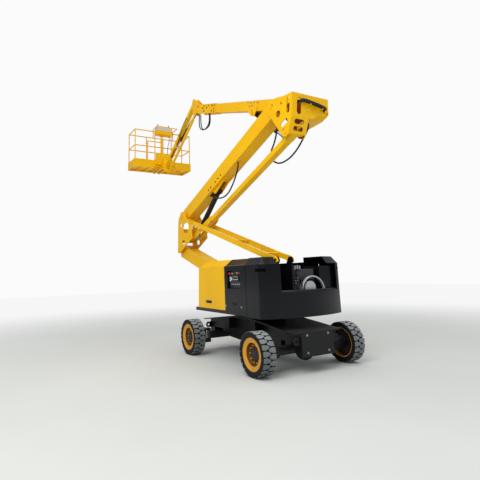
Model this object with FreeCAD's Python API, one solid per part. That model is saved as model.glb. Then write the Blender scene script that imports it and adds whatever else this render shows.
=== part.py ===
"""Articulating boom lift, raised to work.  Millimetres, X forward, Y to its left, Z up.

The origin is on the ground below the slewing axis, half way between the axles.
"""
import math
import os

import FreeCAD, Part

V = FreeCAD.Vector

# Driving dimensions: running gear
WHEELBASE = 2160
TRACK = 1806
TYRE_R = 325
TYRE_W = 234
RIM_R = 238
HUB_R = 164
LUG_H = 24
LUGS = 15
KINGPIN_Y = 670
CHASSIS_HW = 325
DECK_HW = 480
CHASSIS_END = 1410
DECK_Z = 735
TIE_X, TIE_Y, TIE_Z, TIE_R = 1370, 400, 480, 22
# Turntable
PLATE_Z0, PLATE_Z1 = 810, 868
HOUSE_HW = 780
HOUSE_FRONT = 1165
HOOD_FRONT, HOOD_LEAN = 1060, 54
HOUSE_TOP = 1630
ROOF_TOP = 1745
TAIL_X, TAIL_HW = -724, 830
TAIL_APEX, TAIL_R, TAIL_CORNER = -1330, 2000, 100
TAIL_WALL = 24
WINDOW_Y, WINDOW_Z = (-700, 520), 1190
ROOF_GAP_Y = (-422, 572)
SKIN = 14
# Linkage pins in the plane of the machine, as seen from its left: (x, z)
RISER_Y = 385
LOWER_PIN = (-573, 1086)
LINK_PIN = (-1190, 1690)
ELBOW_LOWER = (2415, 2045)
ELBOW_LINK = (1798, 2649)
ELBOW_UPLINK = (1850, 2318)
ELBOW_UPPER = (2190, 2852)
HEAD_UPPER = (-1306, 4190)
HEAD_UPLINK = (-1646, 3656)
LOWER_CYL = ((-200, 925), (690, 1262))
UPPER_CYL = ((789, 3177), (1850, 2318))
# Main boom, fly and jib
BOOM_Y = -30
BOOM_PIN = (-1520, 4280)
BOOM_ANGLE = 19.3
BOOM_CYL = ((-90, 4618), (-980, 3800))
TIP_PIN = (2240, 5670)
JIB_TOP = (2560, 5930)
JIB_FOOT = (4550, 4680)
JIB_LINK = (-320, -260)
JIB_CYL = ((2540, 5610), (3780, 5040))
# Platform
BASKET_X, BASKET_Z = 5121, 4668
BASKET_L, BASKET_D, BASKET_H = 1830, 630, 1165
TURN_X = 4645
TUBE_R = 16
GATE_Y = (-230, 300)
CONSOLE_Y = (-240, 250)
POST_R = 15
GUARD_Y = 300
GUARD_OUT = 335
HOSE_R = 8
PIN_R = 25
FIT = 0.05
GAP = 0.3


def box(x0, x1, y0, y1, z0, z1):
    return Part.makeBox(x1 - x0, y1 - y0, z1 - z0, V(x0, y0, z0))


def rod(p, q, r):
    p, q = V(*p), V(*q)
    return Part.makeCylinder(r, (q - p).Length, p, q - p)


def pin(xz, y0, y1, r=PIN_R):
    return Part.makeCylinder(r, y1 - y0, V(xz[0], y0, xz[1]), V(0, 1, 0))


def side_plate(points, y0, y1):
    """A plate whose outline (x, z) is seen from the side."""
    wire = Part.makePolygon([V(x, y0, z) for x, z in points + points[:1]])
    return Part.Face(wire).extrude(V(0, y1 - y0, 0))


def obround(p, q, r, y0=-2000, y1=2000):
    """A round-ended slot between two points (x, z), cut right across the machine."""
    length = math.dist(p, q)
    return fuse([pin(p, y0, y1, r), pin(q, y0, y1, r), beam(p, q, [(0, -r), (length, -r), (length, r), (0, r)], y0, y1)])


def floor_plate(points, z0, z1):
    """A plate whose outline (x, y) is seen from above."""
    wire = Part.makePolygon([V(x, y, z0) for x, y in points + points[:1]])
    return Part.Face(wire).extrude(V(0, 0, z1 - z0))


def fuse(shapes):
    first, *rest = shapes
    return first.fuse(rest).removeSplitter() if rest else first


def along(p, q, a, b):
    """The point a mm from p towards q and b mm to the upper side."""
    length = math.dist(p, q)
    ux, uz = (q[0] - p[0]) / length, (q[1] - p[1]) / length
    s = 1 if ux >= 0 else -1
    return (p[0] + ux * a - s * uz * b, p[1] + uz * a + s * ux * b)


def beam(p, q, points, y0, y1):
    """A side plate drawn in a beam's own directions: (along, across)."""
    return side_plate([along(p, q, a, b) for a, b in points], y0, y1)


def mirrored(shape, y=0):
    return shape.mirror(V(0, y, 0), V(0, 1, 0))


def ring(points):
    """Turns the outline (radius, y) about the wheel's axis."""
    wire = Part.makePolygon([V(r, y, 0) for r, y in points + points[:1]])
    return Part.Face(wire).revolve(V(0, 0, 0), V(0, 1, 0), 360)


def stubs(xz, y, inner, outer, r):
    """The two ends of a pin, each in its own ear."""
    return [pin(xz, y + inner, y + outer, r), pin(xz, y - outer, y - inner, r)]


# Wheels: all four are alike, modelled with the outer side to +Y
HALF = TYRE_W / 2
CARCASS = [(RIM_R, -HALF + 22), (286, -HALF), (TYRE_R - LUG_H, -HALF + 16),
           (TYRE_R - LUG_H, HALF - 16), (286, HALF), (RIM_R, HALF - 22)]
# A lug seen from outside the tread: (along the tread, across it)
LUG = [(-40, HALF - 3), (40, HALF - 3), (46, 62), (17, -4), (-17, -4), (-46, 62)]


def tyre():
    parts = [ring(CARCASS)]
    pitch = 360 / LUGS
    for side, phase in ((1, 0), (-1, 0.5)):
        pts = [V(t, side * y, TYRE_R - LUG_H - 6) for t, y in LUG]
        lug = Part.Face(Part.makePolygon(pts + pts[:1])).extrude(V(0, 0, LUG_H + 3))
        for k in range(LUGS):
            copy = lug.copy()
            copy.rotate(V(0, 0, 0), V(0, 1, 0), (k + phase) * pitch)
            parts.append(copy)
    return fuse(parts)


def wheel_rim():
    dish = ring([(0, 22), (150, 22), (HUB_R - 8, 40), (HUB_R - 8, HALF - 34), (HUB_R, HALF - 26),
                 (RIM_R - 14, HALF - 8), (RIM_R, HALF - 8), (RIM_R, -HALF + 12), (RIM_R - 12, -HALF + 12),
                 (RIM_R - 12, HALF - 30), (HUB_R + 6, HALF - 44), (HUB_R + 6, 12), (0, 12)])
    hub = ring([(0, 60), (70, 60), (82, 50), (96, 44), (96, 22), (0, 22)])
    nuts = [Part.makeCylinder(12, 20, V(124 * math.cos(a), 20, 124 * math.sin(a)), V(0, 1, 0))
            for a in (math.radians(36 * k) for k in range(10))]
    return fuse([dish, hub] + nuts)


def placed(shape, x, y, side):
    shape = shape if side > 0 else mirrored(shape)
    return shape.translated(V(x, y, TYRE_R))


WHEELS = [("front_left", WHEELBASE / 2, 1), ("front_right", WHEELBASE / 2, -1),
          ("rear_left", -WHEELBASE / 2, 1), ("rear_right", -WHEELBASE / 2, -1)]

# Half the chassis outline seen from the side, (x, z), mirrored to the other end
CHASSIS_TOP = [(300, DECK_Z), (CHASSIS_END, 605)]
CHASSIS_LOW = [(CHASSIS_END, 300), (1210, 300), (760, 330), (300, 300)]


def chassis():
    end = CHASSIS_TOP + CHASSIS_LOW
    outline = end + [(-x, z) for x, z in reversed(end)]
    core = side_plate(outline, -CHASSIS_HW, CHASSIS_HW)
    arch = [box(s * WHEELBASE / 2 - 165, s * WHEELBASE / 2 + 165, -CHASSIS_HW - 1, CHASSIS_HW + 1, 200, 445 + GAP)
            for s in (1, -1)]
    core = core.cut(Part.makeCompound(arch))
    deck = [(-CHASSIS_END, 605), (-300, DECK_Z), (300, DECK_Z), (CHASSIS_END, 605),
            (CHASSIS_END, 585), (300, DECK_Z - 20), (-300, DECK_Z - 20), (-CHASSIS_END, 585)]
    deck = side_plate(deck, -DECK_HW, DECK_HW)
    ends = [box(min(s * CHASSIS_END, s * (CHASSIS_END - 16)), max(s * CHASSIS_END, s * (CHASSIS_END - 16)),
                -CHASSIS_HW, CHASSIS_HW, 250, 600) for s in (1, -1)]
    webs = [box(x - 8, x + 8, s * 400 - 76, s * 400 + 76, 500, 690) for x in (-420, 420) for s in (1, -1)]
    pedestal = Part.makeCone(470, 400, 62, V(0, 0, DECK_Z - 2))
    return fuse([core, deck, pedestal] + ends + webs)


def tie_downs():
    """Four lashing plates below the corners of the deck."""
    plates = []
    for x, y in ((TIE_X, TIE_Y), (TIE_X, -TIE_Y), (-TIE_X, TIE_Y), (-TIE_X, -TIE_Y)):
        plate = box(x - 8, x + 8, min(y, y * CHASSIS_HW / TIE_Y), max(y, y * CHASSIS_HW / TIE_Y), TIE_Z - 55, TIE_Z + 55)
        half = fuse([plate, rod((x - 8, y, TIE_Z), (x + 8, y, TIE_Z), 55)])
        plates.append(half.cut(rod((x - 20, y, TIE_Z), (x + 20, y, TIE_Z), TIE_R)))
    return Part.makeCompound(plates)


def slew_ring():
    return Part.makeCylinder(375, PLATE_Z0 - GAP - DECK_Z - 60, V(0, 0, DECK_Z + 60))


def rear_axle():
    x = -WHEELBASE / 2
    parts = [rod((x, -600, TYRE_R), (x, 600, TYRE_R), 70),
             Part.makeSphere(150, V(x, 0, TYRE_R - 45))]
    for s in (1, -1):
        parts.append(rod((x, s * 560, TYRE_R), (x, s * 800, TYRE_R), 110))
        parts.append(rod((x, s * 799, TYRE_R), (x, s * (TRACK / 2 + 11.7), TYRE_R), 60))
        parts.append(box(x - 75, x + 75, s * 250 - 60, s * 250 + 60, TYRE_R, 445))
    return fuse(parts)


def front_axle():
    x = WHEELBASE / 2
    parts = [box(x - 75, x + 75, -560, 560, TYRE_R - 60, TYRE_R + 60), box(x - 75, x + 75, -200, 200, TYRE_R, 445)]
    for s in (1, -1):
        for z in (TYRE_R - 130, TYRE_R + 95):
            parts.append(box(x - 60, x + 60, min(s * 540, s * 735), max(s * 540, s * 735), z, z + 35))
        parts.append(box(x - 60, x + 60, min(s * 540, s * 562), max(s * 540, s * 562), TYRE_R - 130, TYRE_R + 130))
        parts.append(rod((x, s * KINGPIN_Y, TYRE_R - 150), (x, s * KINGPIN_Y, TYRE_R + 150), PIN_R))
    return fuse(parts)


def knuckle():
    x, z = WHEELBASE / 2, TYRE_R
    body = fuse([Part.makeCylinder(58, 189, V(x, KINGPIN_Y, z - 94.7)),
                 rod((x, KINGPIN_Y + 20, z), (x, 795, z), 88),
                 rod((x, 794, z), (x, TRACK / 2 + 11.7, z), 60)])
    arm = box(x - 190, x - 40, KINGPIN_Y - 25, KINGPIN_Y + 25, z - 60, z - 40)
    hole = Part.makeCylinder(PIN_R + FIT, 400, V(x, KINGPIN_Y, z - 200))
    return fuse([body, arm]).cut(hole)


def tail_wire(inset, z, front=TAIL_X):
    """The tail's outline seen from above: straight sides, rounded corners and a long arc behind."""
    half, r, corner = TAIL_HW - inset, TAIL_R - inset, TAIL_CORNER - inset
    cx, corner_y = TAIL_APEX + TAIL_R, TAIL_HW - TAIL_CORNER
    corner_x = cx - math.sqrt((TAIL_R - TAIL_CORNER) ** 2 - corner_y ** 2)
    turn = math.atan2(corner_y, cx - corner_x)

    def on_arc(a, s):
        return V(cx - r * math.cos(a), s * r * math.sin(a), z)

    def on_corner(a, s):
        return V(corner_x - corner * math.cos(a), s * (corner_y + corner * math.sin(a)), z)
    mid = (turn + math.pi / 2) / 2
    left, right = [[V(front, s * half, z), on_corner(math.pi / 2, s), on_corner(mid, s), on_arc(turn, s)] for s in (1, -1)]
    return Part.Wire([Part.makeLine(left[0], left[1]), Part.Arc(left[1], left[2], left[3]).toShape(),
                      Part.Arc(left[3], V(cx - r, 0, z), right[3]).toShape(),
                      Part.Arc(right[3], right[2], right[1]).toShape(), Part.makeLine(right[1], right[0]),
                      Part.makeLine(right[0], left[0])])


def turntable():
    base = box(TAIL_X - TAIL_WALL - GAP, HOUSE_FRONT, -HOUSE_HW, HOUSE_HW, PLATE_Z0, PLATE_Z1)
    tail = Part.Face(tail_wire(TAIL_WALL + GAP, PLATE_Z0, TAIL_X - TAIL_WALL - GAP)).extrude(V(0, 0, PLATE_Z1 - PLATE_Z0))
    rear = -1222
    mast = [(rear, PLATE_Z1 - 4), (rear, 1640), (rear - 28, 1660), (rear - 28, 1700), (-1220, 1745), (-1160, 1745),
            (-1090, 1640), (-900, 1330), (-520, 1200), (-450, 1100), (-450, PLATE_Z1 - 4)]
    plates = [side_plate(mast, RISER_Y + a, RISER_Y + b) for a, b in ((124, 144), (-144, -124))]
    pins = [pin(LOWER_PIN, RISER_Y - 150, RISER_Y + 150, 30)] + stubs(LINK_PIN, RISER_Y, 124, 180, PIN_R)
    tie = box(rear, rear + 20, RISER_Y - 130, RISER_Y + 130, PLATE_Z1 - 4, PLATE_Z1 + 332)
    x, z = LOWER_CYL[0]
    ears = [box(x - 50, x + 50, RISER_Y + y, RISER_Y + y + 16, PLATE_Z1 - 4, z + 30) for y in (-66, 50)]
    ears.append(pin(LOWER_CYL[0], RISER_Y - 66, RISER_Y + 66, 20))
    return fuse([base, tail, tie] + plates + pins + ears)


def hood(side, x0, x1, inner, top_in, lean=0):
    """An open-backed hood: outer wall, end walls and a roof that slopes up to its inner edge."""
    y0, y1 = HOUSE_HW - 4, inner

    def prism(points, a, b):
        wire = Part.makePolygon([V(a, y, z) for y, z in points + points[:1]])
        solid = Part.Face(wire).extrude(V(b - a, 0, 0))
        return solid.cut(side_plate([(b, PLATE_Z1), (b + 1, PLATE_Z1), (b + 1, 2000), (b - lean * 1.3, 2000),
                                     (b - lean * 0.1, PLATE_Z1 + 70)], 0, 2000)) if lean else solid
    body = prism([(y0, PLATE_Z1 + GAP), (y0, HOUSE_TOP), (y0 - 40, HOUSE_TOP + 12), (y1, top_in), (y1, PLATE_Z1 + GAP)],
                 x0, x1)
    body = body.cut(prism([(y0 - SKIN, PLATE_Z1 - 5), (y0 - SKIN, HOUSE_TOP - 6), (y0 - 45, HOUSE_TOP - 2),
                           (y1 - 5, top_in - SKIN), (y1 - 5, PLATE_Z1 - 5)], x0 + SKIN, x1 - SKIN))
    return body if side > 0 else mirrored(body)


def control_cabinet():
    body = hood(1, -720, 20, 600, ROOF_TOP)
    window = box(-480, -80, HOUSE_HW - 60, HOUSE_HW + 1, 1245, 1547)
    recess = box(-488, -72, HOUSE_HW - 68, HOUSE_HW - 4, 1237, 1555).cut(window)
    return fuse([body.cut(window), recess])


def rear_cover():
    """A curved shell with a window, a rounded sill and two raised roofs beside the riser."""
    wall = Part.Face(tail_wire(0, PLATE_Z0)).extrude(V(0, 0, HOUSE_TOP - PLATE_Z0))
    wall = wall.cut(Part.Face(tail_wire(TAIL_WALL, PLATE_Z0 - 5, 0)).extrude(V(0, 0, HOUSE_TOP)))
    wall = wall.cut(box(-2000, -1000, *WINDOW_Y, WINDOW_Z, HOUSE_TOP + 10))
    lips = [box(TAIL_X - TAIL_WALL, TAIL_X, *sorted((s * (HOUSE_HW + GAP), s * (TAIL_HW - 1))), PLATE_Z0, HOUSE_TOP)
            for s in (1, -1)]
    cx, r, z = TAIL_APEX + TAIL_R, TAIL_R, WINDOW_Z
    section = [(r, z - 4), (r - 8, z + 16), (r - TAIL_WALL, z + 34), (r - 56, z + 34), (r - 56, z + 24),
               (r - TAIL_WALL, z + 22), (r - TAIL_WALL, z - 4)]
    turns = [math.degrees(math.asin(y / r)) for y in WINDOW_Y]
    sill = Part.Face(Part.makePolygon([V(cx - a, 0, b) for a, b in section + section[:1]]))
    sill.rotate(V(cx, 0, 0), V(0, 0, 1), -turns[1])
    sill = sill.revolve(V(cx, 0, 0), V(0, 0, 1), turns[1] - turns[0])
    # A bevel, then a steep face: each is a loft, hollowed by a smaller one
    edge, brow = HOUSE_TOP + 35, TAIL_CORNER - 2
    roof = fuse([Part.makeLoft([tail_wire(0, HOUSE_TOP - 1), tail_wire(32, edge)], True, True),
                 Part.makeLoft([tail_wire(32, edge), tail_wire(brow, ROOF_TOP)], True, True)])
    for low, high in (((24, HOUSE_TOP - 5), (46, edge)), ((46, edge - 1), (brow + 1, ROOF_TOP - SKIN))):
        roof = roof.cut(Part.makeLoft([tail_wire(*low, 0), tail_wire(*high, 0)], True, True))
    roof = roof.cut(box(-2000, 100, *ROOF_GAP_Y, 1000, 2000))
    return fuse([wall, sill, roof] + lips)


def engine():
    return box(-1140, -760, -270, 30, PLATE_Z1 + GAP, 1120)


def silencer():
    feet = [box(x, x + 30, -210, -70, 1120 + GAP, 1180) for x in (-1110, -860)]
    return fuse([rod((-1180, -140, 1240), (-800, -140, 1240), 110)] + feet)


def hydraulic_tank():
    legs = [box(x, x + 20, y, y + 20, PLATE_Z1 + GAP, 1373) for x in (-1080, -800) for y in (-300, 40)]
    return fuse([box(-1090, -770, -300, 60, 1372, 1545)] + legs)


def service_box():
    return box(-1130, -760, -700, -390, PLATE_Z1 + GAP, 1590)


def counterweight():
    return floor_plate([(-1200, -540), (-1200, 200), (-1285, 200), (-1218, -540)], PLATE_Z1 + GAP, 1180)


# Beams of the riser: bosses reach sideways to the plates that hold them
def arm(p, q, half_w, half_d, bosses, ends, slot):
    length = math.dist(p, q)
    a0, a1 = -ends[0], length + ends[1]
    body = beam(p, q, [(a0 + 30, -half_d), (a1 - 30, -half_d), (a1, -half_d * 0.4), (a1, half_d * 0.4),
                       (a1 - 30, half_d), (a0 + 30, half_d), (a0, half_d * 0.4), (a0, -half_d * 0.4)],
                RISER_Y - half_w, RISER_Y + half_w)
    body = body.cut(beam(p, q, [(a0 - 5, 12 - half_d), (a1 + 5, 12 - half_d), (a1 + 5, half_d - 12),
                                (a0 - 5, half_d - 12)], RISER_Y - half_w + 10, RISER_Y + half_w - 10))
    # The lift cylinder works up through a slot in the underside
    s0, s1, slot_w = slot
    body = body.cut(beam(p, q, [(s0, -half_d - 5), (s1, -half_d - 5), (s1, 20 - half_d), (s0, 20 - half_d)],
                         RISER_Y - slot_w, RISER_Y + slot_w))
    parts, holes = [body], []
    for at, reach, r in bosses:
        parts.append(pin(at, RISER_Y - reach, RISER_Y + reach, r + 28))
        holes.append(pin(at, RISER_Y - reach - 1, RISER_Y + reach + 1, r + FIT))
    return fuse(parts).cut(Part.makeCompound(holes))


def lower_arm():
    body = arm(LOWER_PIN, ELBOW_LOWER, 118, 135, [(LOWER_PIN, 123.7, 30), (ELBOW_LOWER, 179.7, PIN_R)], (60, 20),
               (300, 1560, 56))
    lug = LOWER_CYL[1]
    up = along(LOWER_PIN, ELBOW_LOWER, 1250, -130)
    ears = []
    for y in (-72, 56):
        ears.append(side_plate([(lug[0] - 60, lug[1] - 20), (lug[0] + 40, lug[1] - 40), (up[0] + 120, up[1] + 40),
                                (up[0] - 160, up[1] - 20)], RISER_Y + y, RISER_Y + y + 16))
    return fuse([body] + stubs(lug, RISER_Y, 56, 82, 20) + ears)


def lower_link():
    p, q = LINK_PIN, ELBOW_LINK
    length = math.dist(p, q)
    rail = [(-10, -48), (60, -48), (150, -30), (400, -48), (length + 20, -48), (length + 50, -20), (length + 50, 25),
            (length + 20, 48), (200, 48), (60, 60), (-20, 50), (-55, 0)]
    parts = [beam(p, q, rail, RISER_Y + a, RISER_Y + b) for a, b in ((145, 169.7), (-169.7, -145))]
    for at in (330, 1250):
        parts.append(beam(p, q, [(at, -30), (at + 60, -30), (at + 60, 30), (at, 30)], RISER_Y - 150, RISER_Y + 150))
    hole = Part.makeCompound([pin(p, RISER_Y - 200, RISER_Y + 200, PIN_R + FIT),
                              pin(q, RISER_Y - 200, RISER_Y + 200, PIN_R + FIT)])
    return fuse(parts).cut(hole)


def upper_arm():
    body = arm(ELBOW_UPPER, HEAD_UPPER, 125, 140, [(ELBOW_UPPER, 179.7, PIN_R), (HEAD_UPPER, 159.7, PIN_R)], (30, 60),
               (1100, 1700, 60))
    lug = UPPER_CYL[0]
    at = 1424
    ears = []
    for y in (-76, 60):
        ears.append(beam(ELBOW_UPPER, HEAD_UPPER, [(at - 120, -135), (at - 50, -235), (at + 20, -235),
                                                   (at + 600, -135)], RISER_Y + y, RISER_Y + y + 16))
    return fuse([body, pin(lug, RISER_Y - 86, RISER_Y + 86, 22)] + ears)


def upper_link():
    p, q = ELBOW_UPLINK, HEAD_UPLINK
    length = math.dist(p, q)
    body = beam(p, q, [(640, -45), (length - 30, -45), (length + 45, -20), (length + 45, 25), (length, 45), (640, 45)],
                RISER_Y - 60, RISER_Y + 60)
    fork = [beam(p, q, [(-30, -35), (0, -48), (560, -70), (760, -70), (900, -45), (900, 45), (500, 55), (0, 48),
                        (-30, 35)], RISER_Y + a, RISER_Y + b) for a, b in ((72, 92), (-92, -72))]
    bosses = [pin(p, RISER_Y + 72, RISER_Y + 179.7, 48), pin(p, RISER_Y - 179.7, RISER_Y - 72, 48),
              pin(q, RISER_Y - 159.7, RISER_Y + 159.7, 46)]
    caps = [beam(p, q, [(at, -45), (at + 20, -45), (at + 20, 45), (at, 45)], RISER_Y - 90, RISER_Y + 90)
            for at in (640, 880)]
    hole = Part.makeCompound([pin(p, RISER_Y - 200, RISER_Y + 200, PIN_R + FIT),
                              pin(q, RISER_Y - 200, RISER_Y + 200, PIN_R + FIT)])
    return fuse([body] + caps + fork + bosses).cut(hole)


ELBOW_OUTLINE = [(2470, 2010), (2450, 2110), (2440, 2560), (2400, 2790), (2260, 2930), (2130, 2935), (2080, 2880),
                 (1960, 2740), (1770, 2712), (1725, 2640), (1700, 2290), (2360, 1985)]


def elbow():
    plates = [side_plate(ELBOW_OUTLINE, RISER_Y + a, RISER_Y + b) for a, b in ((180, 195), (-195, -180))]
    holes = [obround((1978, 2541), (2042, 2541), 118), obround((2271, 2618), (2271, 2640), 40),
             obround((2115, 2222), (2160, 2230), 50)]
    plates = [s.cut(Part.makeCompound(holes)) for s in plates]
    pins = [pin(at, RISER_Y - 205, RISER_Y + 205) for at in (ELBOW_LOWER, ELBOW_UPPER)]
    pins += stubs(ELBOW_LINK, RISER_Y, 140, 205, PIN_R) + stubs(ELBOW_UPLINK, RISER_Y, 60, 205, PIN_R)
    back = side_plate([(2436, 2300), (2424, 2300), (2420, 2560), (2432, 2560)], RISER_Y - 181, RISER_Y + 181)
    web = side_plate([(2330, 2225), (2342, 2238), (1992, 2486), (1980, 2473)], RISER_Y - 181, RISER_Y + 181)
    return fuse(plates + pins + [back, web])


def cylinder(p, q, y, barrel_r, barrel_len, eye_r, eye_w, base_pin, home):
    """A barrel pinned at p and a rod whose eye stands at q, home mm from its shortest: (barrel, rod)."""
    length = math.dist(p, q)
    a = V(p[0], y, p[1])
    u = V(q[0] - p[0], 0, q[1] - p[1]).normalize()
    rod_r = barrel_r * 0.55
    body = Part.makeCylinder(barrel_r, barrel_len - eye_r / 2, a + u * eye_r / 2, u)
    bore = Part.makeCylinder(rod_r + FIT, barrel_len, a + u * (eye_r + 30), u)
    barrel = fuse([body, pin(p, y - eye_w, y + eye_w, eye_r)]).cut(bore)
    barrel = barrel.cut(pin(p, y - eye_w - 1, y + eye_w + 1, base_pin + FIT))
    start = eye_r + 32 + home
    piston = Part.makeCylinder(rod_r, length - start, a + u * start, u)
    return barrel, fuse([piston, pin(q, y - eye_w, y + eye_w, eye_r)])


HEAD_PLATE = [(-1863, 4235), (-1660, 4245), (-1480, 4290), (-1260, 4300), (-1200, 4200), (-1250, 4080), (-1560, 3610),
              (-1640, 3575), (-1712, 3610), (-1813, 3868)]
HEAD_SIDE = [(-1863, 4235), (-1660, 4330), (-1450, 4370), (-1390, 4280), (-1330, 4100), (-1345, 3885), (-1691, 3909),
             (-1829, 3960), (-1851, 3993)]
HEAD_L, HEAD_R = RISER_Y + 175, -186


def head():
    plates = [side_plate(HEAD_PLATE, RISER_Y + a, RISER_Y + b) for a, b in ((160, 175), (-175, -160))]
    holes = [obround((-1762, 4150), (-1734, 3975), 38, RISER_Y + 100), obround((-1668, 3828), (-1575, 3794), 42),
             pin((-1490, 4003), RISER_Y + 100, 2000, 58), pin((-1585, 4155), RISER_Y + 100, 2000, 26),
             pin((-1459, 4251), RISER_Y + 100, 2000, 12)]
    plates = [s.cut(Part.makeCompound(holes)) for s in plates]
    # The upper rear face is closed but for two upright slots, and rises in a notch below the boom
    back = side_plate([(-1863, 4235), (-1847, 4235), (-1797, 3868), (-1813, 3868)], HEAD_R, HEAD_L)
    notch = [(143, 3800), (143, 3840), (0, 3961), (HEAD_R - 1, 3990), (HEAD_R - 1, 3800)]
    wire = Part.makePolygon([V(-1900, y, z) for y, z in notch + notch[:1]])
    back = back.cut(Part.Face(wire).extrude(V(200, 0, 0)))
    # Middle, half-height and half-width of each slot
    for y, z, high, wide in ((412, 4040, 134, 46), (-104, 4045, 50, 22)):
        ends = [rod((-1900, y, z + s * (high - wide)), (-1700, y, z + s * (high - wide)), wide) for s in (1, -1)]
        back = back.cut(Part.makeCompound(ends + [box(-1900, -1700, y - wide, y + wide, z - high + wide, z + high - wide)]))
    low = side_plate([(-1813, 3868), (-1797, 3868), (-1697, 3620), (-1712, 3612)], RISER_Y - 175, HEAD_L)
    for z in (3796, 3690):
        ends = [rod((-1900, RISER_Y + s * 60, z), (-1650, RISER_Y + s * 60, z), 38) for s in (1, -1)]
        low = low.cut(Part.makeCompound(ends + [box(-1900, -1650, RISER_Y - 60, RISER_Y + 60, z - 38, z + 38)]))
    side = side_plate(HEAD_SIDE, HEAD_R, HEAD_R + 15)
    cheek = side_plate(HEAD_SIDE, 108, 123)
    under = side_plate([(-1829, 3960), (-1691, 3909), (-1345, 3885), (-1345, 3899), (-1688, 3923), (-1832, 3976)],
                       HEAD_R, RISER_Y - 160)
    lug = BOOM_CYL[1]
    ears = [side_plate([(lug[0] - 60, lug[1] - 40), (lug[0] + 40, lug[1] - 40), (lug[0] + 60, lug[1] + 30),
                        (-1440, 4140), (-1650, 4005)], BOOM_Y + a, BOOM_Y + b) for a, b in ((56, 72), (-72, -56))]
    web = side_plate([(-1480, 4110), (-1500, 4090), (-1250, 3900), (-1230, 3920)], BOOM_Y - 68, RISER_Y - 160)
    pins = [pin(HEAD_UPPER, RISER_Y - 185, RISER_Y + 185), pin(HEAD_UPLINK, RISER_Y - 185, RISER_Y + 185),
            pin(BOOM_PIN, HEAD_R - 8, 131)] + stubs(lug, BOOM_Y, 56, 80, 22)
    clips = fuse([box(-1920, -1840, y, y + 24, z - 34, z + 34) for y, z in ((230, 4093), (-20, 4059))])
    clips = clips.cut(head_hoses(GAP))
    return fuse(plates + [back, low, side, cheek, under, web, clips] + ears + pins)


BOOM_TIP = (BOOM_PIN[0] + 1000 * math.cos(math.radians(BOOM_ANGLE)),
            BOOM_PIN[1] + 1000 * math.sin(math.radians(BOOM_ANGLE)))


def boom_box(a0, a1, half_d, half_w, wall=0):
    body = beam(BOOM_PIN, BOOM_TIP, [(a0, -half_d), (a1, -half_d), (a1, half_d), (a0, half_d)],
                BOOM_Y - half_w, BOOM_Y + half_w)
    if wall:
        body = body.cut(boom_box(a0 - 5, a1 + 5, half_d - wall, half_w - wall))
    return body


def main_boom():
    tube = boom_box(-120, 3140, 104, 80, 8)
    tube = tube.cut(pin(BOOM_PIN, BOOM_Y - 200, BOOM_Y + 200, PIN_R + FIT))
    sleeves = []
    for a, b in ((72, 137), (-137, -72)):
        sleeves.append(pin(BOOM_PIN, BOOM_Y + a, BOOM_Y + b, 55))
    collar = boom_box(3080, 3140, 116, 92).cut(boom_box(3000, 3200, 88 + GAP, 66 + GAP))
    lug = BOOM_CYL[0]
    a = (lug[0] - BOOM_PIN[0]) * math.cos(math.radians(BOOM_ANGLE)) \
        + (lug[1] - BOOM_PIN[1]) * math.sin(math.radians(BOOM_ANGLE))
    b = -(lug[0] - BOOM_PIN[0]) * math.sin(math.radians(BOOM_ANGLE)) \
        + (lug[1] - BOOM_PIN[1]) * math.cos(math.radians(BOOM_ANGLE))
    ears = [beam(BOOM_PIN, BOOM_TIP, [(a - 150, -20), (a - 75, b - 40), (a - 25, b - 62), (a + 35, b - 55),
                                      (a + 275, -60), (a + 290, 98), (a - 150, 98)],
                 BOOM_Y + y0, BOOM_Y + y1) for y0, y1 in ((78, 92), (-92, -78))]
    body = fuse([tube, collar] + sleeves + ears + [pin(lug, BOOM_Y - 98, BOOM_Y + 98, 22)])
    return body.cut(pin(BOOM_PIN, BOOM_Y - 200, BOOM_Y + 200, PIN_R + FIT))


def fly_boom():
    tube = fuse([boom_box(1500, 3260, 88, 66, 6), boom_box(1500, 1560, 96 - GAP, 72 - GAP, 12)])
    length = math.dist(BOOM_PIN, TIP_PIN)
    tip = [(3155, -112), (length - 60, -122), (length + 30, -70), (length + 55, 0), (length + 45, 60),
           (length, 112), (3155, 112)]
    plates = [beam(BOOM_PIN, BOOM_TIP, tip, BOOM_Y + a, BOOM_Y + b) for a, b in ((92, 104), (-104, -92))]
    ties = [boom_box(3155, 3190, 112, 93), boom_box(3180, 3760, 8, 93).translated(V(0, 0, -100)),
            boom_box(3180, 3700, 8, 93).translated(V(0, 0, 100))]
    pins = [pin(TIP_PIN, BOOM_Y - 112, BOOM_Y + 112)]
    return fuse([tube] + ties + plates + pins)


def plus(p, d):
    return (p[0] + d[0], p[1] + d[1])


def tip_bracket():
    p, q = TIP_PIN, JIB_TOP
    outline = [(p[0] - 45, p[1] - 20), (p[0] - 10, p[1] - 70), (q[0] - 120, p[1] - 130), (q[0] + 20, p[1] - 120),
               (q[0] + 60, p[1] - 50), (q[0] + 70, q[1]), (q[0] + 30, q[1] + 70), (q[0] - 50, q[1] + 60),
               (p[0] - 15, p[1] + 55)]
    plates = [side_plate(outline, BOOM_Y + a, BOOM_Y + b) for a, b in ((56, 66), (-66, -56))]
    hole = pin(TIP_PIN, -900, 900, PIN_R + FIT)
    plates = [s.cut(hole) for s in plates]
    pins = [pin(JIB_TOP, BOOM_Y - 76, BOOM_Y + 76), pin(JIB_CYL[0], BOOM_Y - 66, BOOM_Y + 66, 18)]
    tie = box(q[0] - 115, q[0] - 85, BOOM_Y - 57, BOOM_Y + 57, q[1] - 80, q[1] - 45)
    return fuse(plates + pins + [tie])


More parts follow.
